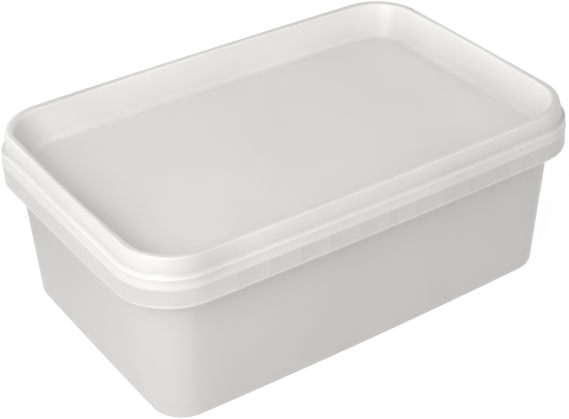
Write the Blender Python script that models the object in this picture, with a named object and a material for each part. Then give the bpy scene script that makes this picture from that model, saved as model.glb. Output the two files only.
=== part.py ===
"""Rectangular two-litre ice cream tub, injection moulded, with its lid pressed shut.

Metres, +Z up. The origin is the middle of the flat base, and the long side runs along X.
Every horizontal outline is a rectangle with round corners and slightly bowed sides. A profile
is a list of corners (offset, height, radius): offset is measured outwards from the outer face
of the lid's skirt, so it is negative inside it.
"""

import math

import bmesh
import bpy
from mathutils import Vector

MM = 0.001

# Outline of the lid's skirt, which every other outline is offset from
SKIRT_HALF_LENGTH = 113.4 * MM
SKIRT_HALF_WIDTH = 73.85 * MM
SKIRT_CORNER_RADIUS = 25.2 * MM
LONG_SIDE_BOW = 1.5 * MM
SHORT_SIDE_BOW = 0.4 * MM

# Foot of the tub, where the outline is smaller and its corners are tighter
BASE_HALF_LENGTH = 102.4 * MM
BASE_HALF_WIDTH = 63.2 * MM
BASE_CORNER_RADIUS = 14.7 * MM
BASE_LONG_SIDE_BOW = 1.7 * MM
BASE_EDGE_RADIUS = 2.8 * MM

# Heights above the surface that the tub stands on
SKIRT_BOTTOM = 66.4 * MM
PANEL_TOP = 69.6 * MM
FLANGE_BOTTOM = 73.0 * MM
FLANGE_TOP = 74.2 * MM
SHOULDER_BOTTOM = 74.7 * MM
SHOULDER_TOP = 78.9 * MM
RIM_FOOT = 80.2 * MM
RIM_TOP = 86.6 * MM

# Offsets from the skirt's outer face
SKIRT_LIP_OFFSET = 0.2 * MM
SHOULDER_TOP_OFFSET = -0.5 * MM
RIM_FOOT_OFFSET = -2.3 * MM
RIM_OUTER_OFFSET = -2.45 * MM
RIM_INNER_OFFSET = -7.6 * MM
PANEL_WALL_OFFSET = -9.5 * MM
PANEL_EDGE_OFFSET = -17.0 * MM
TUB_WALL_OFFSET = -6.95 * MM
TUB_NECK_OFFSET = -6.55 * MM
TUB_RIM_OFFSET = -4.6 * MM
FLANGE_OFFSET = -1.5 * MM

# Rounding of the lid's profile
PANEL_FILLET = 3.1 * MM
RIM_INNER_RADIUS = 2.0 * MM
RIM_OUTER_RADIUS = 1.7 * MM
RIM_FOOT_RADIUS = 0.8 * MM
SHOULDER_TOP_RADIUS = 0.5 * MM
SHOULDER_RADIUS = 2.0 * MM
SMALLEST_RADIUS = 0.2 * MM

# The panel's corners are rounder than the rim's, and the rim dips towards each long side's middle
PANEL_CORNER_GROWTH = 6.0 * MM
RIM_SAG = 0.3 * MM
SAG_EDGE_POWER = 8

LID_WALL = 1.0 * MM
FIT_GAP = 0.4 * MM
SKIRT_LIP_HEIGHT = 1.1 * MM
TUB_RIM_CHAMFER = 0.6 * MM

# Upright gussets that hold the tub's flange, hidden behind the skirt
GUSSET_PITCH = 14.65 * MM
GUSSET_THICKNESS = 1.2 * MM
GUSSET_HEIGHT = 5.2 * MM
GUSSET_REACH = 4.0 * MM
GUSSET_ROOT = 0.4 * MM
LONG_SIDE_GUSSETS = 11
SHORT_SIDE_GUSSETS = 6

CORNER_STEPS = 8
LONG_SIDE_STEPS = 8
SHORT_SIDE_STEPS = 4
BASE_EDGE_STEPS = 3
SMOOTH_ANGLE = 35

POLYPROPYLENE = {
    "lid": (0.86, 0.86, 0.85, 1.0),
    "tub": (0.80, 0.80, 0.79, 1.0),
}
POLYPROPYLENE_ROUGHNESS = 0.38


def clear_scene():
    for old in list(bpy.data.objects):
        bpy.data.objects.remove(old, do_unlink=True)


def moulded_plastic(name):
    material = bpy.data.materials.new(name + "_polypropylene")
    material.use_nodes = True
    shader = material.node_tree.nodes["Principled BSDF"]
    shader.inputs["Base Color"].default_value = POLYPROPYLENE[name]
    shader.inputs["Roughness"].default_value = POLYPROPYLENE_ROUGHNESS
    shader.inputs["Metallic"].default_value = 0.0
    return material


def outline(half_length, half_width, radius, long_bow, short_bow):
    """Points round a rectangle with round corners, counter-clockwise, its sides bowed outwards."""
    straight_x = half_length - radius
    straight_y = half_width - radius
    centres = [
        (straight_x, straight_y),
        (-straight_x, straight_y),
        (-straight_x, -straight_y),
        (straight_x, -straight_y),
    ]
    side_steps = [LONG_SIDE_STEPS, SHORT_SIDE_STEPS, LONG_SIDE_STEPS, SHORT_SIDE_STEPS]
    points = []
    for quarter, (centre, steps) in enumerate(zip(centres, side_steps)):
        for step in range(CORNER_STEPS + 1):
            angle = math.pi / 2 * (quarter + step / CORNER_STEPS)
            x = centre[0] + radius * math.cos(angle)
            y = centre[1] + radius * math.sin(angle)
            points.append(Vector((x, y)))
        next_centre = centres[(quarter + 1) % 4]
        run = Vector(next_centre) - Vector(centre)
        start = points[-1].copy()
        points += [start + run * step / steps for step in range(1, steps)]
    for point in points:
        along_x = 1 - (point.x / half_length) ** 2
        along_y = 1 - (point.y / half_width) ** 2
        point.y += long_bow * along_x * point.y / half_width
        point.x += short_bow * along_y * point.x / half_length
    return points


def rounded_profile(corners):
    """The profile's corners, each replaced by an arc of its radius: (offset, height) pairs."""
    points = []
    for index, (offset, height, radius, steps) in enumerate(corners):
        corner = Vector((offset, height))
        if not steps:
            points.append(corner)
            continue
        before = Vector(corners[index - 1][:2])
        after = Vector(corners[(index + 1) % len(corners)][:2])
        back = (before - corner).normalized()
        ahead = (after - corner).normalized()
        half_angle = back.angle(ahead) / 2
        middle = (back + ahead).normalized()
        centre = corner + middle * radius / math.sin(half_angle)
        first = corner + back * radius / math.tan(half_angle) - centre
        last = corner + ahead * radius / math.tan(half_angle) - centre
        sweep = first.angle(last)
        for step in range(steps + 1):
            share = step / steps
            arm = first * math.sin(sweep * (1 - share)) + last * math.sin(sweep * share)
            points.append(centre + arm / math.sin(sweep))
    return points


def parallel_profile(corners, distance):
    """An open profile moved sideways by a distance, to the left of its direction."""
    moved = []
    for index, (offset, height, radius, steps) in enumerate(corners):
        here = Vector((offset, height))
        back = here - Vector(corners[index - 1][:2]) if index else None
        ahead = Vector(corners[index + 1][:2]) - here if index + 1 < len(corners) else None
        normals = [Vector((-run.y, run.x)).normalized() for run in (back, ahead) if run]
        middle = sum(normals, Vector((0, 0))).normalized()
        shift = middle * distance / middle.dot(normals[0])
        turns_left = back is not None and ahead is not None and back.cross(ahead) > 0
        new_radius = radius - distance if turns_left else radius + distance
        moved.append((here.x + shift.x, here.y + shift.y, max(new_radius, SMALLEST_RADIUS), steps))
    return moved


def skin_rings(name, rings):
    """A closed body from rings of equal length, the first and last ring capped flat."""
    mesh = bpy.data.meshes.new(name)
    shape = bmesh.new()
    loops = [[shape.verts.new(point) for point in ring] for ring in rings]
    for lower, upper in zip(loops, loops[1:]):
        for index, vertex in enumerate(lower):
            after = (index + 1) % len(lower)
            shape.faces.new((vertex, lower[after], upper[after], upper[index]))
    shape.faces.new(list(reversed(loops[0])))
    shape.faces.new(loops[-1])
    bmesh.ops.recalc_face_normals(shape, faces=shape.faces)
    shape.to_mesh(mesh)
    shape.free()
    return mesh


def place(name, mesh):
    part = bpy.data.objects.new(name, mesh)
    bpy.context.scene.collection.objects.link(part)
    mesh.materials.append(moulded_plastic(name))
    mesh.shade_smooth()
    mesh.set_sharp_from_angle(angle=math.radians(SMOOTH_ANGLE))
    return part


def lid_ring(offset, height, inside_rim, sag=0.0):
    """One outline of the lid. Inside the rim its corners grow rounder towards the panel."""
    depth = min((RIM_TOP - height) / (RIM_TOP - PANEL_TOP), 1)
    growth = PANEL_CORNER_GROWTH * depth if inside_rim else 0
    points = outline(
        SKIRT_HALF_LENGTH + offset,
        SKIRT_HALF_WIDTH + offset,
        SKIRT_CORNER_RADIUS + offset + growth,
        LONG_SIDE_BOW,
        SHORT_SIDE_BOW,
    )
    ring = []
    for point in points:
        middle = 1 - (point.x / SKIRT_HALF_LENGTH) ** 2
        edge = min(abs(point.y) / (SKIRT_HALF_WIDTH + offset), 1) ** SAG_EDGE_POWER
        ring.append(Vector((point.x, point.y, height - sag * middle * edge)))
    return ring


def rim_sag(height):
    """The rim dips a little in the middle of each long side, and the skirt's lower edge doesn't."""
    return RIM_SAG * max(0.0, (height - PANEL_TOP) / (RIM_TOP - PANEL_TOP))


def lid_profile():
    """The lid's upper face, from the flat panel over the rim and down to the shoulder."""
    return [
        (PANEL_EDGE_OFFSET, PANEL_TOP, 0, 0),
        (PANEL_WALL_OFFSET, PANEL_TOP, PANEL_FILLET, 5),
        (RIM_INNER_OFFSET, RIM_TOP, RIM_INNER_RADIUS, 4),
        (RIM_OUTER_OFFSET, RIM_TOP, RIM_OUTER_RADIUS, 4),
        (RIM_FOOT_OFFSET, RIM_FOOT, RIM_FOOT_RADIUS, 1),
        (SHOULDER_TOP_OFFSET, SHOULDER_TOP, SHOULDER_TOP_RADIUS, 2),
        (0, SHOULDER_BOTTOM, SHOULDER_RADIUS, 2),
        (0, SKIRT_BOTTOM, 0, 0),
    ]


def lid_mesh():
    top = lid_profile()
    under = parallel_profile(top, -LID_WALL)
    lip_top = SKIRT_BOTTOM + SKIRT_LIP_HEIGHT
    lip = [
        (0, lip_top + SKIRT_LIP_OFFSET),
        (SKIRT_LIP_OFFSET, lip_top),
        (SKIRT_LIP_OFFSET, SKIRT_BOTTOM + SKIRT_LIP_OFFSET),
        (0, SKIRT_BOTTOM),
    ]
    over = [(point.x, point.y) for point in rounded_profile(top)[:-1]] + lip
    below = [(point.x, point.y) for point in rounded_profile(under)]
    section = over + list(reversed(below))
    rim_middle = (RIM_INNER_OFFSET + RIM_OUTER_OFFSET) / 2
    rings = []
    for offset, height in section:
        rings.append(lid_ring(offset, height, offset < rim_middle, rim_sag(height)))
    return skin_rings("lid", rings)


def tub_ring(offset, height):
    """One outline of the tub. Below the rim it tapers from the wall's offset to the base."""
    share = min(height / SKIRT_BOTTOM, 1.0)
    wall_length = SKIRT_HALF_LENGTH + TUB_WALL_OFFSET
    wall_width = SKIRT_HALF_WIDTH + TUB_WALL_OFFSET
    wall_radius = SKIRT_CORNER_RADIUS + TUB_WALL_OFFSET
    proud = offset - TUB_WALL_OFFSET
    points = outline(
        BASE_HALF_LENGTH + (wall_length - BASE_HALF_LENGTH) * share + proud,
        BASE_HALF_WIDTH + (wall_width - BASE_HALF_WIDTH) * share + proud,
        BASE_CORNER_RADIUS + (wall_radius - BASE_CORNER_RADIUS) * share + proud,
        BASE_LONG_SIDE_BOW + (LONG_SIDE_BOW - BASE_LONG_SIDE_BOW) * share,
        SHORT_SIDE_BOW,
    )
    return [Vector((point.x, point.y, height)) for point in points]


def tub_mesh():
    """The filled tub: base, tapering wall, flange, the rim in the lid's channel, and the top."""
    rings = []
    for step in range(BASE_EDGE_STEPS + 1):
        angle = math.pi / 2 * step / BASE_EDGE_STEPS
        inset = BASE_EDGE_RADIUS * (1 - math.sin(angle))
        height = BASE_EDGE_RADIUS * (1 - math.cos(angle))
        rings.append(tub_ring(TUB_WALL_OFFSET - inset, height))
    rings.append(tub_ring(TUB_WALL_OFFSET, SKIRT_BOTTOM / 2))
    rings.append(tub_ring(TUB_WALL_OFFSET, SKIRT_BOTTOM))
    rings.append(tub_ring(TUB_NECK_OFFSET, FLANGE_BOTTOM))
    rings.append(tub_ring(FLANGE_OFFSET, FLANGE_BOTTOM))
    rings.append(tub_ring(FLANGE_OFFSET, FLANGE_TOP))
    rings.append(tub_ring(TUB_RIM_OFFSET, FLANGE_TOP))
    panel, wall_foot, wall_head, _ = parallel_profile(lid_profile()[:4], -LID_WALL - FIT_GAP)
    rim_top = wall_head[1] - RIM_SAG
    rings.append(tub_ring(TUB_RIM_OFFSET, rim_top - TUB_RIM_CHAMFER))
    rings.append(tub_ring(TUB_RIM_OFFSET - TUB_RIM_CHAMFER, rim_top))
    recess = rounded_profile([panel, wall_foot, (wall_head[0], rim_top, 0, 0)])
    for point in reversed(recess):
        rings.append(lid_ring(point.x, point.y, inside_rim=True))
    return skin_rings("tub", rings)


def gusset(position, outward):
    """A thin upright web from the tub's wall to the flange, its lower edge sloping."""
    across = Vector((-outward.y, outward.x, 0)) * GUSSET_THICKNESS / 2
    root = position - outward * GUSSET_ROOT
    tip = position + outward * GUSSET_REACH
    low = FLANGE_BOTTOM - GUSSET_HEIGHT
    high = FLANGE_BOTTOM + (FLANGE_TOP - FLANGE_BOTTOM) / 2
    tip_low = FLANGE_BOTTOM - GUSSET_HEIGHT / 3
    corners = [(root, low), (tip, tip_low), (tip, high), (root, high)]
    shape = bmesh.new()
    sides = []
    for side in (-across, across):
        points = [Vector((base.x, base.y, height)) + side for base, height in corners]
        sides.append([shape.verts.new(point) for point in points])
    near, far = sides
    shape.faces.new(near)
    shape.faces.new(list(reversed(far)))
    for index in range(4):
        after = (index + 1) % 4
        shape.faces.new((near[after], near[index], far[index], far[after]))
    bmesh.ops.recalc_face_normals(shape, faces=shape.faces)
    mesh = bpy.data.meshes.new("gusset")
    shape.to_mesh(mesh)
    shape.free()
    return mesh


def gusset_places():
    """Where the gussets stand on the tub's wall, and which way each one points."""
    half_length = SKIRT_HALF_LENGTH + TUB_NECK_OFFSET
    half_width = SKIRT_HALF_WIDTH + TUB_NECK_OFFSET
    places = []
    for index in range(LONG_SIDE_GUSSETS):
        x = (index - (LONG_SIDE_GUSSETS - 1) / 2) * GUSSET_PITCH
        y = half_width + LONG_SIDE_BOW * (1 - (x / half_length) ** 2)
        places.append((Vector((x, y, 0)), Vector((0, 1, 0))))
        places.append((Vector((x, -y, 0)), Vector((0, -1, 0))))
    for index in range(SHORT_SIDE_GUSSETS):
        y = (index - (SHORT_SIDE_GUSSETS - 1) / 2) * GUSSET_PITCH
        x = half_length + SHORT_SIDE_BOW * (1 - (y / half_width) ** 2)
        places.append((Vector((x, y, 0)), Vector((1, 0, 0))))
        places.append((Vector((-x, y, 0)), Vector((-1, 0, 0))))
    return places


def join_gussets(tub):
    """Unites the gussets with the tub, so that the tub stays one body."""
    webs = bpy.data.collections.new("gussets")
    bpy.context.scene.collection.children.link(webs)
    for position, outward in gusset_places():
        webs.objects.link(bpy.data.objects.new("gusset", gusset(position, outward)))
    union = tub.modifiers.new("gussets", "BOOLEAN")
    union.operation = "UNION"
    union.operand_type = "COLLECTION"
    union.collection = webs
    union.solver = "EXACT"
    bpy.context.view_layer.update()
    graph = bpy.context.evaluated_depsgraph_get()
    joined = bpy.data.meshes.new_from_object(tub.evaluated_get(graph))
    tub.modifiers.clear()
    tub.data = joined
    for web in list(webs.objects):
        bpy.data.objects.remove(web, do_unlink=True)
    bpy.data.collections.remove(webs)


def main():
    clear_scene()
    tub = place("tub", tub_mesh())
    join_gussets(tub)
    place("lid", lid_mesh())


main()
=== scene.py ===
import math

import bmesh
import bpy
from mathutils import Matrix, Vector


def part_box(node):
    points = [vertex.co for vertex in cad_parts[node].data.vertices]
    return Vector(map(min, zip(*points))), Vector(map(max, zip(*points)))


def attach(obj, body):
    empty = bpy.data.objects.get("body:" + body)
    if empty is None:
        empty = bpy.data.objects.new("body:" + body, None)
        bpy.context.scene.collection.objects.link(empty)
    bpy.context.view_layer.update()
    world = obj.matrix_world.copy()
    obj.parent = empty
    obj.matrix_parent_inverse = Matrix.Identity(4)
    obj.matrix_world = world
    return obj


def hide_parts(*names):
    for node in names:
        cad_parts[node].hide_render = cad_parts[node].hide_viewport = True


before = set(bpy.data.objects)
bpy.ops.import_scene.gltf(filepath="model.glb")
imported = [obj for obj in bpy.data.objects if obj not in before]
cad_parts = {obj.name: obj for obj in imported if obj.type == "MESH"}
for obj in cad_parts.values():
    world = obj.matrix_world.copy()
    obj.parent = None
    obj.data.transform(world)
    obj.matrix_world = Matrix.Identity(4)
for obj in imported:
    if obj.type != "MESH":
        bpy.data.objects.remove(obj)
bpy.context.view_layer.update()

mm = 0.001
lidLow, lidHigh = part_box("lid")
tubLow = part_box("tub")[0]
print("frame loaded:", ", ".join(sorted(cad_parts)))

cameraSetup = {
    "azimuth": -34.91,  # degrees, turned from looking along +Y
    "elevation": 32.487,
    "roll": -0.589,
    "distance": 666.7,  # mm
    "target": (8.05, -5.53, 45.45),  # mm
    "sensorWidth": 36.0,
    "imageWidth": 569,
    "imageHeight": 419,
    "focalLengthPixels": 1461.553,
    "opticalCentrePixels": (309.492, 189.452),
    "clip": (0.01, 50.0),  # m
}


def makeCamera(setup):
    azimuth = math.radians(setup["azimuth"])
    elevation = math.radians(setup["elevation"])
    roll = math.radians(setup["roll"])
    backX = math.sin(azimuth) * math.cos(elevation)
    backY = -math.cos(azimuth) * math.cos(elevation)
    back = Vector((backX, backY, math.sin(elevation)))
    level = Vector((0, 0, 1)).cross(back).normalized()
    upright = back.cross(level)
    right = level * math.cos(roll) + upright * math.sin(roll)
    up = upright * math.cos(roll) - level * math.sin(roll)
    place = (Vector(setup["target"]) + back * setup["distance"]) * mm
    data = bpy.data.cameras.new("studioCamera")
    data.sensor_fit = "HORIZONTAL"
    data.sensor_width = setup["sensorWidth"]
    data.lens = setup["focalLengthPixels"] * setup["sensorWidth"] / setup["imageWidth"]
    centreX, centreY = setup["opticalCentrePixels"]
    data.shift_x = (setup["imageWidth"] / 2 - centreX) / setup["imageWidth"]
    data.shift_y = (centreY - setup["imageHeight"] / 2) / setup["imageWidth"]
    data.clip_start, data.clip_end = setup["clip"]
    camera = bpy.data.objects.new("studioCamera", data)
    bpy.context.scene.collection.objects.link(camera)
    axes = Matrix((right, up, back)).transposed().to_4x4()
    camera.matrix_world = Matrix.Translation(place) @ axes
    bpy.context.scene.camera = camera


makeCamera(cameraSetup)
print("camera placed")


def hexToLinear(code):
    channels = [int(code[start:start + 2], 16) / 255 for start in (1, 3, 5)]
    linear = [c / 12.92 if c <= 0.04045 else ((c + 0.055) / 1.055) ** 2.4 for c in channels]
    return (*linear, 1.0)


def addNode(tree, kind, inputs=None, **settings):
    node = tree.nodes.new(kind)
    for name, value in settings.items():
        setattr(node, name, value)
    for name, value in (inputs or {}).items():
        if isinstance(value, bpy.types.NodeSocket):
            tree.links.new(value, node.inputs[name])
        else:
            node.inputs[name].default_value = value
    return node


def newMaterial(name):
    material = bpy.data.materials.new(name)
    material.use_nodes = True
    material.node_tree.nodes.clear()
    return material, material.node_tree


# Natural polypropylene, injection moulded in a lightly spark-eroded mould: milky white because
# light goes a few millimetres into it, with a soft satin sheen and no sharp reflections
lidPlastic = {
    "name": "lidMilkyPolypropyleneMoulded",
    "colour": "#D5D4D2",
    "paintedLight": "#F0EFED",  # painted light: the colour of thin walls, drawn as if light came through them from behind
    "paintedShade": "#B5B4B2",  # painted shade: the hanging skirt's colour, darkened where the tub lies behind it
    "ior": 1.49,  # polypropylene
    "roughness": 0.36,  # satin
    "roughnessSpread": 0.06,
    "scatterWeight": 0.45,
    "scatterDepth": 4.0,  # mm
    "cloudSize": 45.0,  # mm, slow changes in the milkiness
    "cloudDetail": 2.0,
    "cloudRoughness": 0.4,
    "cloudRange": (0.3, 0.7),  # the noise seldom leaves this range
    "cloudDepth": 0.02,  # share of the colour
    "satinGrain": 0.9,  # mm, really about 0.15 mm, drawn coarser so that it shows
    "satinDetail": 2.0,
    "satinHeight": 0.004,  # mm
    "wavePitch": 38.0,  # mm, slow waviness of a thin moulded wall
    "waveDetail": 1.0,
    "waveHeight": 0.05,  # mm
    # painted light and shade: a faint saw of streaks where the tub's gussets stand behind the long sides of
    # the skirt
    "gussetPitch": 14.65,  # mm
    "gussetHalfRun": 80.6,  # mm
    "gussetHalfDepth": 60.0,  # mm, how far from the middle the long sides start
    "gussetShift": 74.3,  # mm
    "gussetShade": 0.028,  # share of the colour
}
# The same plastic with a darker, duller colour: painted shade over the tub's wall
tubPlastic = {
    **lidPlastic,
    "gussetPitch": 0,
    "name": "tubMilkyPolypropyleneMoulded",
    "colour": "#B5B4B3",
    "paintedLight": "#C3C2C0",  # painted light on the front left corner and on the front just below the lid
    "paintedShade": "#A8A7A6",  # painted shade on the left end, towards the back and the top
}


def addMath(tree, operation, first, second=0.0, third=0.0):
    inputs = {0: first, 1: second, 2: third}
    return addNode(tree, "ShaderNodeMath", inputs, operation=operation).outputs[0]


def paintedGussetShading(tree, place, shade, recipe):
    # painted light and shade on the skirt where its colour has full painted shade: dark beside each gusset,
    # and lighter up to the next one
    axes = addNode(tree, "ShaderNodeSeparateXYZ", {0: place})
    along = addMath(tree, "ABSOLUTE", axes.outputs["X"])
    across = addMath(tree, "ABSOLUTE", axes.outputs["Y"])
    inRun = addMath(tree, "LESS_THAN", along, recipe["gussetHalfRun"] * mm)
    onSide = addMath(tree, "GREATER_THAN", across, recipe["gussetHalfDepth"] * mm)
    zone = addMath(tree, "MULTIPLY", inRun, onSide)
    bays = addMath(tree, "MULTIPLY", axes.outputs["X"], 1 / (recipe["gussetPitch"] * mm))
    shifted = addMath(tree, "ADD", bays, recipe["gussetShift"] / recipe["gussetPitch"])
    saw = addMath(tree, "MULTIPLY_ADD", addMath(tree, "FRACT", shifted), 2.0, -1.0)
    deep = addMath(tree, "MAXIMUM", addMath(tree, "MULTIPLY_ADD", shade, 2.0, -1.0), 0.0)
    paintedShade = addMath(tree, "MULTIPLY", deep, zone)
    streak = addMath(tree, "MULTIPLY", addMath(tree, "MULTIPLY", saw, paintedShade), recipe["gussetShade"])
    return addMath(tree, "ADD", streak, 1.0)


def polypropyleneMoulded(recipe):
    material, tree = newMaterial(recipe["name"])
    place = addNode(tree, "ShaderNodeTexCoord").outputs["Object"]
    low, high = recipe["cloudRange"]
    clouds = addNode(tree, "ShaderNodeTexNoise", {
        "Vector": place,
        "Scale": 1 / (recipe["cloudSize"] * mm),
        "Detail": recipe["cloudDetail"],
        "Roughness": recipe["cloudRoughness"],
    })
    # the attribute is -1 where the colour has full painted shade, 0 on a plain wall and 1 where it has full
    # painted light
    light = addNode(tree, "ShaderNodeAttribute", attribute_name="paintedLightAndShade").outputs["Fac"]
    # mixes the painted light colour into the plain colour
    glow = addNode(tree, "ShaderNodeMix", {
        0: light,
        6: hexToLinear(recipe["colour"]),
        7: hexToLinear(recipe["paintedLight"]),
    }, data_type="RGBA").outputs[2]
    shade = addMath(tree, "MULTIPLY", light, -1.0)
    streak = paintedGussetShading(tree, place, shade, recipe) if recipe["gussetPitch"] else 1.0
    # then mixes in the painted shade colour
    wall = addNode(tree, "ShaderNodeMix", {
        0: shade,
        6: glow,
        7: hexToLinear(recipe["paintedShade"]),
    }, data_type="RGBA").outputs[2]
    milk = addNode(tree, "ShaderNodeMapRange", {
        "Value": clouds.outputs["Fac"],
        "From Min": low,
        "From Max": high,
        "To Min": 1 - recipe["cloudDepth"],
        "To Max": 1 + recipe["cloudDepth"],
    }).outputs["Result"]
    tint = addMath(tree, "MULTIPLY", milk, streak)
    colour = addNode(tree, "ShaderNodeVectorMath", {0: wall, "Scale": tint}, operation="SCALE").outputs[0]
    gloss = addNode(tree, "ShaderNodeMapRange", {
        "Value": clouds.outputs["Fac"],
        "From Min": low,
        "From Max": high,
        "To Min": recipe["roughness"] - recipe["roughnessSpread"],
        "To Max": recipe["roughness"] + recipe["roughnessSpread"],
    })
    grain = addNode(tree, "ShaderNodeTexNoise", {
        "Vector": place,
        "Scale": 1 / (recipe["satinGrain"] * mm),
        "Detail": recipe["satinDetail"],
    })
    waves = addNode(tree, "ShaderNodeTexNoise", {
        "Vector": place,
        "Scale": 1 / (recipe["wavePitch"] * mm),
        "Detail": recipe["waveDetail"],
    })
    waveBump = addNode(tree, "ShaderNodeBump", {
        "Strength": 1.0,
        "Distance": recipe["waveHeight"] * mm,
        "Height": waves.outputs["Fac"],
    })
    satinBump = addNode(tree, "ShaderNodeBump", {
        "Strength": 1.0,
        "Distance": recipe["satinHeight"] * mm,
        "Height": grain.outputs["Fac"],
        "Normal": waveBump.outputs["Normal"],
    })
    shader = addNode(tree, "ShaderNodeBsdfPrincipled", {
        "Base Color": colour,
        "IOR": recipe["ior"],
        "Roughness": gloss.outputs["Result"],
        "Subsurface Weight": recipe["scatterWeight"],
        "Subsurface Radius": (1.0, 1.0, 1.0),
        "Subsurface Scale": recipe["scatterDepth"] * mm,
        "Normal": satinBump.outputs["Normal"],
    })
    addNode(tree, "ShaderNodeOutputMaterial", {"Surface": shader.outputs["BSDF"]})
    return material


lidMaterial = polypropyleneMoulded(lidPlastic)
tubMaterial = polypropyleneMoulded(tubPlastic)
print("plastics mixed")


# Shapes that the lid and the tub share
outlineSteps = {"corner": 28, "longSide": 36, "shortSide": 24}
smallestRadius = 0.2  # mm, of an edge that a wall's thickness would otherwise close up


def planOutline(halfLength, halfWidth, radius, longBow, shortBow):
    # a rectangle with round corners and slightly bowed sides, anticlockwise from the right
    straight = Vector((halfLength - radius, halfWidth - radius))
    points = []
    for quarter in range(4):
        signX = (1, -1, -1, 1)[quarter]
        signY = (1, 1, -1, -1)[quarter]
        centre = Vector((straight.x * signX, straight.y * signY))
        for step in range(outlineSteps["corner"] + 1):
            angle = math.pi / 2 * (quarter + step / outlineSteps["corner"])
            points.append(centre + Vector((math.cos(angle), math.sin(angle))) * radius)
        start = points[-1].copy()
        alongLong = quarter % 2 == 0
        run = Vector((-2 * straight.x * signX, 0)) if alongLong else Vector((0, -2 * straight.y * signY))
        count = outlineSteps["longSide" if alongLong else "shortSide"]
        points += [start + run * step / count for step in range(1, count)]
    for point in points:
        alongX = 1 - (point.x / halfLength) ** 2
        alongY = 1 - (point.y / halfWidth) ** 2
        point.y += longBow * alongX * point.y / halfWidth
        point.x += shortBow * alongY * point.x / halfLength
    return points


def roundedProfile(corners):
    # the points of a section from its corners, each an offset, a height, a radius and its steps
    points = []
    for index, (offset, height, radius, steps) in enumerate(corners):
        corner = Vector((offset, height))
        if not steps:
            points.append(corner)
            continue
        back = (Vector(corners[index - 1][:2]) - corner).normalized()
        ahead = (Vector(corners[index + 1][:2]) - corner).normalized()
        halfAngle = back.angle(ahead) / 2
        centre = corner + (back + ahead).normalized() * radius / math.sin(halfAngle)
        first = corner + back * radius / math.tan(halfAngle) - centre
        last = corner + ahead * radius / math.tan(halfAngle) - centre
        sweep = first.angle(last)
        for step in range(steps + 1):
            share = step / steps
            arm = first * math.sin(sweep * (1 - share)) + last * math.sin(sweep * share)
            points.append(centre + arm / math.sin(sweep))
    return points


def parallelProfile(corners, distance):
    # the corners of the section that lies at a distance beside this one
    moved = []
    for index, (offset, height, radius, steps) in enumerate(corners):
        here = Vector((offset, height))
        back = here - Vector(corners[index - 1][:2]) if index else None
        ahead = Vector(corners[index + 1][:2]) - here if index + 1 < len(corners) else None
        normals = [Vector((-run.y, run.x)).normalized() for run in (back, ahead) if run]
        middle = sum(normals, Vector((0, 0))).normalized()
        shift = middle * distance / middle.dot(normals[0])
        turnsLeft = back is not None and ahead is not None and back.cross(ahead) > 0
        newRadius = radius - distance if turnsLeft else radius + distance
        moved.append((here.x + shift.x, here.y + shift.y, max(newRadius, smallestRadius), steps))
    return moved


def shellFromRings(name, rings, lights, material):
    # rings of Vectors in mm, joined one to the next, with the first and last one closed flat; lights has
    # the painted light (above 0) and painted shade (below 0) of each of their points
    shape = bmesh.new()
    layer = shape.verts.layers.float.new("paintedLightAndShade")
    loops = [[shape.verts.new(point * mm) for point in ring] for ring in rings]
    for loop, ringLights in zip(loops, lights):
        for vertex, light in zip(loop, ringLights):
            vertex[layer] = light
    for lower, upper in zip(loops, loops[1:]):
        for index, vertex in enumerate(lower):
            after = (index + 1) % len(lower)
            shape.faces.new((vertex, lower[after], upper[after], upper[index]))
    for ring in (loops[0], loops[-1]):
        centre = shape.verts.new(sum((v.co for v in ring), Vector()) / len(ring))
        centre[layer] = ring[0][layer]
        for index, vertex in enumerate(ring):
            shape.faces.new((vertex, ring[(index + 1) % len(ring)], centre))
    bmesh.ops.recalc_face_normals(shape, faces=shape.faces)
    mesh = bpy.data.meshes.new(name)
    shape.to_mesh(mesh)
    shape.free()
    mesh.shade_smooth()
    mesh.materials.append(material)
    piece = bpy.data.objects.new(name, mesh)
    bpy.context.scene.collection.objects.link(piece)
    return piece


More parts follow.
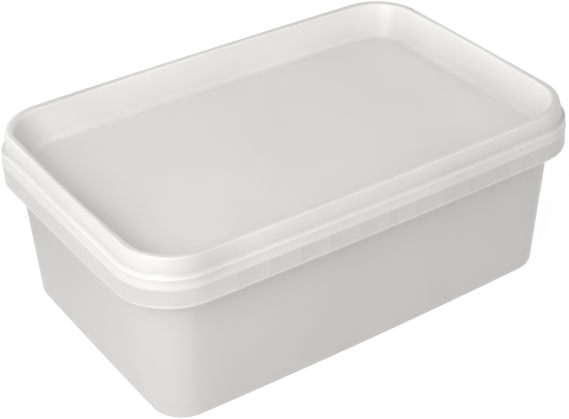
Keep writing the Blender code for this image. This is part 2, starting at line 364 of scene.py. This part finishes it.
lidSizes = {
    # millimetres; an offset is measured outwards from the skirt's outer face
    "longBow": 1.5,
    "shortBow": 0.4,
    "cornerRadius": 25.2,
    "wall": 1.0,
    "panelHeight": 69.6,
    "panelEdgeOffset": -17.0,
    "panelWallOffset": -9.5,
    "panelFillet": 3.1,
    "panelCornerGrowth": 6.0,
    "panelSag": 0.15,
    "rimRise": 0.3,
    "rimInnerOffset": -7.5,
    "rimInnerRadius": 1.3,
    "rimInnerLongBow": 1.2,  # further bow of the rim's inner edge, which is narrower in mid-side
    "rimInnerShortBow": 1.6,
    "rimOuterOffset": -3.45,
    "rimOuterRadius": 1.0,
    "rimBreakOffset": -2.85,
    "rimBreakHeight": 83.3,
    "rimBreakRadius": 0.4,
    "rimCornerGrowth": 1.0,
    "rimSag": 0.3,
    "rimSagPower": 8,
    "rimFootOffset": -2.3,
    "rimFootHeight": 80.2,
    "rimFootRadius": 0.8,
    "shoulderOffset": -0.5,
    "shoulderHeight": 78.9,
    "shoulderRadius": 0.5,
    "waistOffset": -0.7,
    "waistHeight": 77.3,
    "waistRadius": 1.5,
    "skirtHeadHeight": 75.0,
    "skirtHeadRadius": 1.0,
    "lipProud": 0.2,
    "lipHeight": 1.1,
    "lipSlope": 0.3,
    "lipHeadRadius": 0.15,
    "lipFootRadius": 0.2,
    "lipFootInset": 0.3,
    # the skirt hangs lower than the frame's, and lower still at the left end and along the back
    "skirtDrop": 0.6,
    "leftDrop": 2.1,  # each pair is where a change starts and where the whole of it is reached
    "leftDropAlongY": (-85.0, -15.0),
    "leftDropAlongX": (60.0, -92.0),
    "cornerDrop": 2.6,  # the ledge at the back left corner
    "cornerDropAlongX": (0.0, -95.0),
    "cornerDropAlongY": (46.0, 62.0),
    "cornerPull": 0.9,  # the skirt's lower edge there, drawn inwards
    "cornerPullAlongX": (-70.0, -95.0),
    "cornerPullCentre": (-88.0, 48.0),
    "backingHeight": 74.3,  # the tub's flange backs the lid above this height; below it the skirt's colour has full painted shade
    "backingEdge": 0.3,  # how far above and below it the section has a point
    # painted light (above 0) and painted shade (below 0) in the colour of each part of the wall, see
    # lidLight
    "crestLight": -0.4,
    "rimWallLight": -0.45,
    "ledgeFootLight": -0.55,
    "ledgeLight": -0.3,
    "shoulderLight": -0.5,
    "skirtLight": -1.0,
    "lipLight": -0.9,
    "rimGlow": 0.66,
    "panelWallGlow": 0.07,
    # the heights over which one part's painted light and shade turns into the next one's
    "wallFootRise": 2.0,
    "wallGlowAbovePanel": 5.0,
    "wallGlowBelowRim": 3.0,
    "crestDepth": 0.9,
    "rimWallMargin": 1.5,
    "ledgeMargin": 0.4,
    "shoulderMargin": 0.8,
    "backingMargin": 0.25,
    "lipMargin": 0.1,
    # the same for the patches
    "outsideMargin": 2.0,
    "wallHeadMargin": 4.0,
    "wallFootMargin": 0.8,
    "crestMargins": (1.2, 0.2),
    # patches of painted light and painted shade: the part, the middle, the reach and the change
    "patches": [
        {"part": "outside", "x": -86, "y": -73, "reach": 23, "change": -0.4},
        {"part": "crest", "x": 50, "y": -72, "reach": 90, "change": 0.25},
        {"part": "crest", "x": -108, "y": -20, "reach": 60, "change": -0.2},
        {"part": "crest", "x": 0, "y": 72, "reach": 150, "change": 0.3},
        {"part": "crest", "x": -104, "y": 64, "reach": 40, "change": 0.5},
        {"part": "crest", "x": 109, "y": 10, "reach": 80, "change": 0.3},
        {"part": "panel", "x": -82, "y": -46, "reach": 45, "change": 0.17},
        {"part": "panel", "x": -20, "y": -5, "reach": 50, "change": -0.08},
        {"part": "wallHead", "x": -80, "y": 68, "reach": 60, "change": -0.5},
        {"part": "wallHead", "x": 10, "y": 68, "reach": 90, "change": -0.22},
        {"part": "wallHead", "x": 106, "y": 50, "reach": 50, "change": 0.2},
        {"part": "wallFoot", "x": 50, "y": 66, "reach": 60, "change": 0.3},
        {"part": "wallFoot", "x": -88, "y": 66, "reach": 35, "change": 0.5},
        {"part": "wallFoot", "x": 104, "y": -25, "reach": 55, "change": -0.3},
    ],
    # how many pieces each rounding of the section is drawn in
    "steps": {
        "panelRings": 7,
        "panelFillet": 8,
        "rimInner": 8,
        "rimOuter": 8,
        "rimBreak": 3,
        "rimFoot": 4,
        "shoulder": 5,
        "waist": 4,
        "skirtHead": 4,
        "lipSlope": 2,
        "lipHead": 2,
        "lipFoot": 3,
    },
}
skirtHalfLength = lidHigh.x / mm - lidSizes["shortBow"] - lidSizes["lipProud"]
skirtHalfWidth = lidHigh.y / mm - lidSizes["longBow"] - lidSizes["lipProud"]
skirtBottom = lidLow.z / mm
rimTop = lidHigh.z / mm + lidSizes["rimRise"]
rimMiddle = (lidSizes["rimInnerOffset"] + lidSizes["rimOuterOffset"]) / 2


def ramp(value, start, end):
    # from 0 at the start to 1 at the end, easing in and out
    share = min(max((value - start) / (end - start), 0), 1)
    return share * share * (3 - 2 * share)


def hangLower(point, height):
    # moves a point of the skirt or the ledge to where the slightly warped lid has it
    s = lidSizes
    down = min(max((s["shoulderHeight"] - height) / (s["shoulderHeight"] - skirtBottom), 0), 1)
    left = ramp(point.x, *s["leftDropAlongX"]) * ramp(point.y, *s["leftDropAlongY"])
    corner = ramp(point.x, *s["cornerDropAlongX"]) * ramp(point.y, *s["cornerDropAlongY"])
    below = ramp(s["rimBreakHeight"] - height, 0, s["rimBreakHeight"] - s["rimFootHeight"])
    drop = down * (s["skirtDrop"] + s["leftDrop"] * left) + below * (1 - down) * s["cornerDrop"] * corner
    pull = s["cornerPull"] * ramp(point.x, *s["cornerPullAlongX"]) * corner * down
    inwards = (point - Vector(s["cornerPullCentre"])).normalized() * -pull
    return Vector((point.x + inwards.x, point.y + inwards.y, height - drop))


def lidRing(offset, height, insideRim, share=1.0):
    # one outline of the lid; its corners grow rounder towards the rim's crest and the panel
    depth = (rimTop - height) / (rimTop - lidSizes["panelHeight"])
    longBow = lidSizes["longBow"]
    shortBow = lidSizes["shortBow"]
    if insideRim:
        growth = lidSizes["panelCornerGrowth"] * min(depth, 1)
        longBow += lidSizes["rimInnerLongBow"] * max(1 - depth, 0)
        shortBow += lidSizes["rimInnerShortBow"] * max(1 - depth, 0)
    else:
        rise = (height - lidSizes["rimBreakHeight"]) / (rimTop - lidSizes["rimBreakHeight"])
        growth = lidSizes["rimCornerGrowth"] * min(max(rise, 0), 1)
    radius = lidSizes["cornerRadius"] + offset + growth
    halfLength = skirtHalfLength + offset
    halfWidth = skirtHalfWidth + offset
    points = planOutline(halfLength, halfWidth, radius, longBow, shortBow)
    sag = lidSizes["rimSag"] * max(0.0, 1 - depth)
    ring = []
    for point in points:
        alongSide = 1 - (point.x / skirtHalfLength) ** 2
        edge = min(abs(point.y) / halfWidth, 1) ** lidSizes["rimSagPower"]
        drop = sag * alongSide * edge + lidSizes["panelSag"] * (1 - share ** 2)
        if insideRim:
            ring.append(Vector((point.x * share, point.y * share, height - drop)))
        else:
            ring.append(hangLower(point, height) - Vector((0, 0, drop)))
    return ring


def lidLight(offset, height):
    # how much painted light (above 0) or painted shade (below 0) the lid's colour has at a point of its
    # section
    s = lidSizes
    panel = s["panelHeight"]
    if offset < rimMiddle:
        foot = ramp(height, panel, panel + s["wallFootRise"]) * s["panelWallGlow"]
        upper = ramp(height, panel + s["wallGlowAbovePanel"], rimTop - s["wallGlowBelowRim"])
        crest = ramp(height, rimTop - s["crestDepth"], rimTop)
        glow = foot + upper * (s["rimGlow"] - s["panelWallGlow"])
        return glow * (1 - crest) + s["crestLight"] * crest
    if height < skirtBottom + s["lipHeight"] + s["lipMargin"]:
        return s["lipLight"]
    stops = [
        (rimTop, s["crestLight"]),
        (rimTop - s["rimWallMargin"], s["rimWallLight"]),
        (s["rimFootHeight"] + s["rimWallMargin"], s["rimWallLight"]),
        (s["rimFootHeight"], s["ledgeFootLight"]),
        (s["shoulderHeight"] + s["ledgeMargin"], s["ledgeLight"]),
        (s["shoulderHeight"] - s["shoulderMargin"], s["shoulderLight"]),
        (s["backingHeight"] + s["backingMargin"], s["shoulderLight"]),
        (s["backingHeight"] - s["backingMargin"], s["skirtLight"]),
    ]
    for (high, before), (low, after) in zip(stops, stops[1:]):
        if height >= low:
            return after + (before - after) * ramp(height, low, high)
    return s["skirtLight"]


def patchedLights(offset, height, ring):
    # the painted light and shade at each point of a ring, with the patches
    s = lidSizes
    if offset > rimMiddle:
        low = s["skirtHeadHeight"] - s["outsideMargin"]
        shares = {"outside": ramp(height, low, s["skirtHeadHeight"] + s["outsideMargin"])}
    else:
        head = ramp(height, s["panelHeight"] + s["wallHeadMargin"], rimTop - s["wallHeadMargin"])
        foot = ramp(height, s["panelHeight"], s["panelHeight"] + s["wallFootMargin"])
        shares = {"wallHead": head, "wallFoot": foot * (1 - head), "panel": 1 - foot}
    start, end = s["crestMargins"]
    shares["crest"] = ramp(height, rimTop - start, rimTop - end)
    lights = []
    for point in ring:
        light = lidLight(offset, height)
        for patch in s["patches"]:
            away = math.dist((point.x, point.y), (patch["x"], patch["y"]))
            nearness = ramp(patch["reach"] - away, 0, patch["reach"])
            light += shares.get(patch["part"], 0) * nearness * patch["change"]
        lights.append(light)
    return lights


def makeLid():
    s = lidSizes
    steps = s["steps"]
    top = [
        (s["panelEdgeOffset"], s["panelHeight"], 0, 0),
        (s["panelWallOffset"], s["panelHeight"], s["panelFillet"], steps["panelFillet"]),
        (s["rimInnerOffset"], rimTop, s["rimInnerRadius"], steps["rimInner"]),
        (s["rimOuterOffset"], rimTop, s["rimOuterRadius"], steps["rimOuter"]),
        (s["rimBreakOffset"], s["rimBreakHeight"], s["rimBreakRadius"], steps["rimBreak"]),
        (s["rimFootOffset"], s["rimFootHeight"], s["rimFootRadius"], steps["rimFoot"]),
        (s["shoulderOffset"], s["shoulderHeight"], s["shoulderRadius"], steps["shoulder"]),
        (s["waistOffset"], s["waistHeight"], s["waistRadius"], steps["waist"]),
        (0, s["skirtHeadHeight"], s["skirtHeadRadius"], steps["skirtHead"]),
        (0, s["backingHeight"] + s["backingEdge"], 0, 0),
        (0, s["backingHeight"] - s["backingEdge"], 0, 0),
        (0, skirtBottom, 0, 0),
    ]
    lipTop = skirtBottom + s["lipHeight"]
    lip = [
        (0, lipTop + s["lipSlope"], s["lipSlope"], steps["lipSlope"]),
        (s["lipProud"], lipTop, s["lipHeadRadius"], steps["lipHead"]),
        (s["lipProud"], skirtBottom, s["lipFootRadius"], steps["lipFoot"]),
        (-s["lipFootInset"], skirtBottom, 0, 0),
    ]
    outer = roundedProfile(top[:-1] + lip)
    under = [(p.x, p.y) for p in roundedProfile(parallelProfile(top, -s["wall"]))]
    section = [(p.x, p.y) for p in outer] + list(reversed(under))
    rings = [lidRing(offset, height, offset < rimMiddle) for offset, height in section]
    shares = [(step + 1) / (steps["panelRings"] + 1) for step in range(steps["panelRings"])]
    start, end = section[0], section[-1]
    inner = [lidRing(*start, True, share) for share in shares]
    innerUnder = [lidRing(*end, True, share) for share in reversed(shares)]
    lights = [patchedLights(*start, ring) for ring in inner]
    lights += [patchedLights(*point, ring) for point, ring in zip(section, rings)]
    lights += [[0] * len(ring) for ring in innerUnder]
    lid = shellFromRings("lidShell", inner + rings + innerUnder, lights, lidMaterial)
    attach(lid, "root")
    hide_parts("lid")


makeLid()
print("lid made")

tubSizes = {
    # millimetres; an offset is measured outwards from the skirt's outer face
    "baseHalfLength": 102.4,
    "baseHalfWidth": 63.2,
    "baseCornerRadius": 14.7,
    "baseLongBow": 1.7,
    "baseEdgeRadius": 2.8,
    "wallOffset": -6.95,
    "neckOffset": -6.55,
    "flangeOffset": -1.5,
    "flangeBottom": 73.0,
    "flangeTop": 74.2,
    "rimOffset": -4.6,
    "rimHead": 81.6,
    "rimChamfer": 0.3,
    "fitGap": 0.4,
    "footWidth": 7.0,
    "footRecess": 0.8,
    "footSection": ((-1.0, 1.0), (-0.3, 0.7), (0.0, 0.15), (0.5, 0.0)),  # offset, share of the recess
    "baseShares": (0.25, 0.5, 0.75),  # the rings between the foot and the middle of the base
    "edgeSteps": 8,
    "wallSteps": 12,
    "gussetPitch": 14.65,
    "gussetThickness": 1.2,
    "gussetHeight": 5.2,
    "gussetTipPart": 3,  # the root is this many times as high as the tip
    "gussetReach": 4.0,
    "gussetRoot": 0.4,
    "gussetsLongSide": 11,
    "gussetsShortSide": 6,
    "gatePadRadius": 5.0,
    "gatePadHeight": 0.35,
    "gateRadius": 0.9,
    "gateHeight": 0.3,
    "gateTaper": 0.15,
    "gateRoot": 0.1,  # how far the mark reaches into the base
    "gateSegments": 36,
    # painted light on the front left corner
    "glowCentre": (-96, -60),
    "glowReach": 26,
    "glow": 0.3,
    "headGlow": 0.3,  # painted light on the front just below the lid
    "headGlowTowardsFront": (40.0, 62.0),
    "headGlowBelowSkirt": (12.0, 1.0),
    # painted shade on the left end, towards the back and the top
    "dimTowardsLeft": (70.0, 100.0),
    "dimAlongY": (-45.0, 45.0),
    "dimFullHeight": 40.0,
    "dimFloor": 0.3,  # share left at the base
}


def tubRing(offset, height, share=1.0):
    # one outline of the tub, which tapers from the wall's offset to the base
    s = tubSizes
    rise = min(max(height, 0) / skirtBottom, 1.0)
    proud = offset - s["wallOffset"]
    wallLength = skirtHalfLength + s["wallOffset"]
    wallWidth = skirtHalfWidth + s["wallOffset"]
    wallRadius = lidSizes["cornerRadius"] + s["wallOffset"]
    points = planOutline(
        s["baseHalfLength"] + (wallLength - s["baseHalfLength"]) * rise + proud,
        s["baseHalfWidth"] + (wallWidth - s["baseHalfWidth"]) * rise + proud,
        s["baseCornerRadius"] + (wallRadius - s["baseCornerRadius"]) * rise + proud,
        s["baseLongBow"] + (lidSizes["longBow"] - s["baseLongBow"]) * rise,
        lidSizes["shortBow"],
    )
    return [Vector((point.x * share, point.y * share, height)) for point in points]


def gussetPlaces():
    # where each gusset stands on the tub's wall, and which way it points
    s = tubSizes
    halfLength = skirtHalfLength + s["neckOffset"]
    halfWidth = skirtHalfWidth + s["neckOffset"]
    places = []
    for index in range(s["gussetsLongSide"]):
        x = (index - (s["gussetsLongSide"] - 1) / 2) * s["gussetPitch"]
        y = halfWidth + lidSizes["longBow"] * (1 - (x / halfLength) ** 2)
        places += [(Vector((x, y, 0)), Vector((0, 1, 0))), (Vector((x, -y, 0)), Vector((0, -1, 0)))]
    for index in range(s["gussetsShortSide"]):
        y = (index - (s["gussetsShortSide"] - 1) / 2) * s["gussetPitch"]
        x = halfLength + lidSizes["shortBow"] * (1 - (y / halfWidth) ** 2)
        places += [(Vector((x, y, 0)), Vector((1, 0, 0))), (Vector((-x, y, 0)), Vector((-1, 0, 0)))]
    return places


def addGussets(shape):
    # thin upright webs from the wall to the flange, their lower edges sloping
    s = tubSizes
    low = s["flangeBottom"] - s["gussetHeight"]
    tipLow = s["flangeBottom"] - s["gussetHeight"] / s["gussetTipPart"]
    high = (s["flangeBottom"] + s["flangeTop"]) / 2
    for position, outward in gussetPlaces():
        across = Vector((-outward.y, outward.x, 0)) * s["gussetThickness"] / 2
        root = position - outward * s["gussetRoot"]
        tip = position + outward * s["gussetReach"]
        corners = [(root, low), (tip, tipLow), (tip, high), (root, high)]
        sides = []
        for side in (-across, across):
            points = [Vector((base.x, base.y, height)) + side for base, height in corners]
            sides.append([shape.verts.new(point * mm) for point in points])
        near, far = sides
        faces = [near, list(reversed(far))]
        faces += [(near[k], near[k - 1], far[k - 1], far[k]) for k in range(4)]
        for face in faces:
            shape.faces.new(face)


def addGateMark(shape):
    # the small round pad, and the stub on it, where the plastic was let into the mould
    s = tubSizes
    ceiling = s["footRecess"] + s["gateRoot"]
    pad = (s["gatePadRadius"], s["gatePadHeight"])
    stub = (s["gateRadius"], s["gatePadHeight"] + s["gateHeight"])
    for radius, drop in (pad, stub):
        depth = drop + s["gateRoot"]
        bmesh.ops.create_cone(
            shape,
            cap_ends=True,
            segments=s["gateSegments"],
            radius1=(radius - s["gateTaper"]) * mm,
            radius2=radius * mm,
            depth=depth * mm,
            matrix=Matrix.Translation(Vector((0, 0, ceiling - depth / 2)) * mm),
        )


def tubLight(point):
    # how much painted light (above 0) or painted shade (below 0) the tub's colour has at a point of its
    # wall
    s = tubSizes
    start, end = s["dimAlongY"]
    along = min(max((point.y - start) / (end - start), 0), 1)
    upward = min(max(point.z / s["dimFullHeight"], s["dimFloor"]), 1)
    away = math.dist((point.x, point.y), s["glowCentre"])
    low, high = s["headGlowBelowSkirt"]
    head = ramp(-point.y, *s["headGlowTowardsFront"]) * ramp(point.z, skirtBottom - low, skirtBottom - high)
    glow = s["glow"] * ramp(s["glowReach"] - away, 0, s["glowReach"]) + s["headGlow"] * head
    return glow - along * upward * ramp(-point.x, *s["dimTowardsLeft"])


def makeTub():
    s = tubSizes
    foot = s["wallOffset"] - s["footWidth"]
    footEdge = foot + s["footSection"][0][0]
    rings = [tubRing(footEdge, s["footRecess"], share) for share in s["baseShares"]]
    rings += [tubRing(foot + out, s["footRecess"] * depth) for out, depth in s["footSection"]]
    for step in range(s["edgeSteps"] + 1):
        angle = math.pi / 2 * step / s["edgeSteps"]
        inset = s["baseEdgeRadius"] * (1 - math.sin(angle))
        rings.append(tubRing(s["wallOffset"] - inset, s["baseEdgeRadius"] * (1 - math.cos(angle))))
    for step in range(1, s["wallSteps"] + 1):
        height = s["baseEdgeRadius"] + (skirtBottom - s["baseEdgeRadius"]) * step / s["wallSteps"]
        rings.append(tubRing(s["wallOffset"], height))
    rings.append(tubRing(s["neckOffset"], s["flangeBottom"]))
    rings.append(tubRing(s["flangeOffset"], s["flangeBottom"]))
    rings.append(tubRing(s["flangeOffset"], s["flangeTop"]))
    rings.append(tubRing(s["rimOffset"], s["flangeTop"]))
    lid = lidSizes
    lidTop = [
        (lid["panelEdgeOffset"], lid["panelHeight"], 0, 0),
        (lid["panelWallOffset"], lid["panelHeight"], lid["panelFillet"], lid["steps"]["panelFillet"]),
        (lid["rimInnerOffset"], rimTop, 0, 0),
        (lid["rimOuterOffset"], rimTop, 0, 0),
    ]
    gap = lid["wall"] + s["fitGap"]
    panel, wallFoot, wallHead, _ = parallelProfile(lidTop, -gap)
    share = (s["rimHead"] - wallFoot[1]) / (wallHead[1] - wallFoot[1])
    headOffset = wallFoot[0] + (wallHead[0] - wallFoot[0]) * share
    rings.append(tubRing(s["rimOffset"], s["rimHead"] - s["rimChamfer"]))
    rings.append(tubRing(s["rimOffset"] - s["rimChamfer"], s["rimHead"]))
    recess = roundedProfile([panel, wallFoot, (headOffset, s["rimHead"], 0, 0)])
    rings += [lidRing(point.x, point.y, True) for point in reversed(recess)]
    lights = [[tubLight(point) for point in ring] for ring in rings]
    tub = shellFromRings("tubBody", rings, lights, tubMaterial)
    details = bmesh.new()
    details.from_mesh(tub.data)
    skinFaces = len(details.faces)
    addGussets(details)
    addGateMark(details)
    details.faces.ensure_lookup_table()
    bmesh.ops.recalc_face_normals(details, faces=details.faces[skinFaces:])
    for face in details.faces[skinFaces:]:
        face.smooth = False
    details.to_mesh(tub.data)
    details.free()
    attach(tub, "root")
    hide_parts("tub")


makeTub()
print("tub made")

# White studio paper, uncoated and evenly lit from below: dead matt, so that it shows no gloss, and
# bright enough to have no edge
studio = {
    "floorRadius": 5.0,  # m
    "floorSegments": 64,
    "floorGap": 0.05,  # mm, between the paper and the base
    "floorColour": "#808080",
    "floorGlow": 0.85,
    "floorRoughness": 0.9,
    "floorSpecular": 0.1,
    "speckSize": 25.0,  # mm, really about 0.1 mm of paper fibre, drawn far coarser to be seen at all
    "speckDetail": 3.0,
    "speckHeight": 0.02,  # mm
    "lightAim": (0.0, 0.0, 0.05),  # m
    "lightDistance": 0.7,  # m
    # directions in degrees, the azimuth turned from +X towards +Y
    "softboxes": {
        "softboxLow": {"azimuth": 210, "elevation": 30, "size": 0.35, "power": 2.18},
        "softboxHigh": {"azimuth": 210, "elevation": 50, "size": 0.35, "power": 1.31},
    },
    # white walls and ceiling that throw the light back, each brightest in one direction
    "reflectors": [
        {"azimuth": 45, "elevation": 60, "strength": 0.40},
        {"azimuth": 315, "elevation": 60, "strength": 0.73},
        {"azimuth": 45, "elevation": 25, "strength": 0.64},
        {"azimuth": 135, "elevation": 25, "strength": 1.75},
        {"azimuth": 270, "elevation": 25, "strength": 1.70},
    ],
    "reflectorSpread": 6.0,  # power of the cosine, higher is narrower
}


def direction(azimuth, elevation):
    turn = math.radians(azimuth)
    rise = math.radians(elevation)
    return Vector((math.cos(turn) * math.cos(rise), math.sin(turn) * math.cos(rise), math.sin(rise)))


def makeFloor():
    material, tree = newMaterial("whiteStudioPaperMatte")
    # the noise's own coordinates run from 0 to 1 across the floor
    scale = 2 * studio["floorRadius"] / (studio["speckSize"] * mm)
    speck = addNode(tree, "ShaderNodeTexNoise", {"Scale": scale, "Detail": studio["speckDetail"]})
    bump = addNode(tree, "ShaderNodeBump", {
        "Distance": studio["speckHeight"] * mm,
        "Height": speck.outputs["Fac"],
    })
    shader = addNode(tree, "ShaderNodeBsdfPrincipled", {
        "Base Color": hexToLinear(studio["floorColour"]),
        "Roughness": studio["floorRoughness"],
        "Specular IOR Level": studio["floorSpecular"],
        "Emission Color": (1, 1, 1, 1),
        "Emission Strength": studio["floorGlow"],
        "Normal": bump.outputs["Normal"],
    })
    addNode(tree, "ShaderNodeOutputMaterial", {"Surface": shader.outputs["BSDF"]})
    shape = bmesh.new()
    bmesh.ops.create_circle(
        shape, cap_ends=True, segments=studio["floorSegments"], radius=studio["floorRadius"]
    )
    mesh = bpy.data.meshes.new("studioFloor")
    shape.to_mesh(mesh)
    shape.free()
    mesh.materials.append(material)
    floor = bpy.data.objects.new("studioFloor", mesh)
    bpy.context.scene.collection.objects.link(floor)
    floor.location.z = tubLow.z - studio["floorGap"] * mm


def makeSky():
    world = bpy.data.worlds.new("softStudio")
    world.use_nodes = True
    tree = world.node_tree
    tree.nodes.clear()
    looking = addNode(tree, "ShaderNodeTexCoord").outputs["Generated"]
    total = None
    for reflector in studio["reflectors"]:
        axis = direction(reflector["azimuth"], reflector["elevation"])
        facing = addNode(tree, "ShaderNodeVectorMath", {0: looking, 1: axis}, operation="DOT_PRODUCT")
        front = addMath(tree, "MAXIMUM", facing.outputs["Value"])
        lobe = addMath(tree, "POWER", front, studio["reflectorSpread"])
        total = addMath(tree, "MULTIPLY_ADD", lobe, reflector["strength"], total or 0.0)
    glow = addNode(tree, "ShaderNodeBackground", {"Color": hexToLinear("#FFFFFF"), "Strength": total})
    addNode(tree, "ShaderNodeOutputWorld", {"Surface": glow.outputs["Background"]})
    bpy.context.scene.world = world


def addSoftbox(name, azimuth, elevation, size, power):
    data = bpy.data.lights.new(name, "AREA")
    data.shape = "SQUARE"
    data.size = size
    data.energy = power
    box = bpy.data.objects.new(name, data)
    bpy.context.scene.collection.objects.link(box)
    aim = Vector(studio["lightAim"])
    box.location = direction(azimuth, elevation) * studio["lightDistance"]
    box.rotation_euler = (box.location - aim).to_track_quat("Z", "Y").to_euler()


makeFloor()
makeSky()
for name, box in studio["softboxes"].items():
    addSoftbox(name, **box)
bpy.context.scene.view_settings.view_transform = "Standard"
print("studio lit")
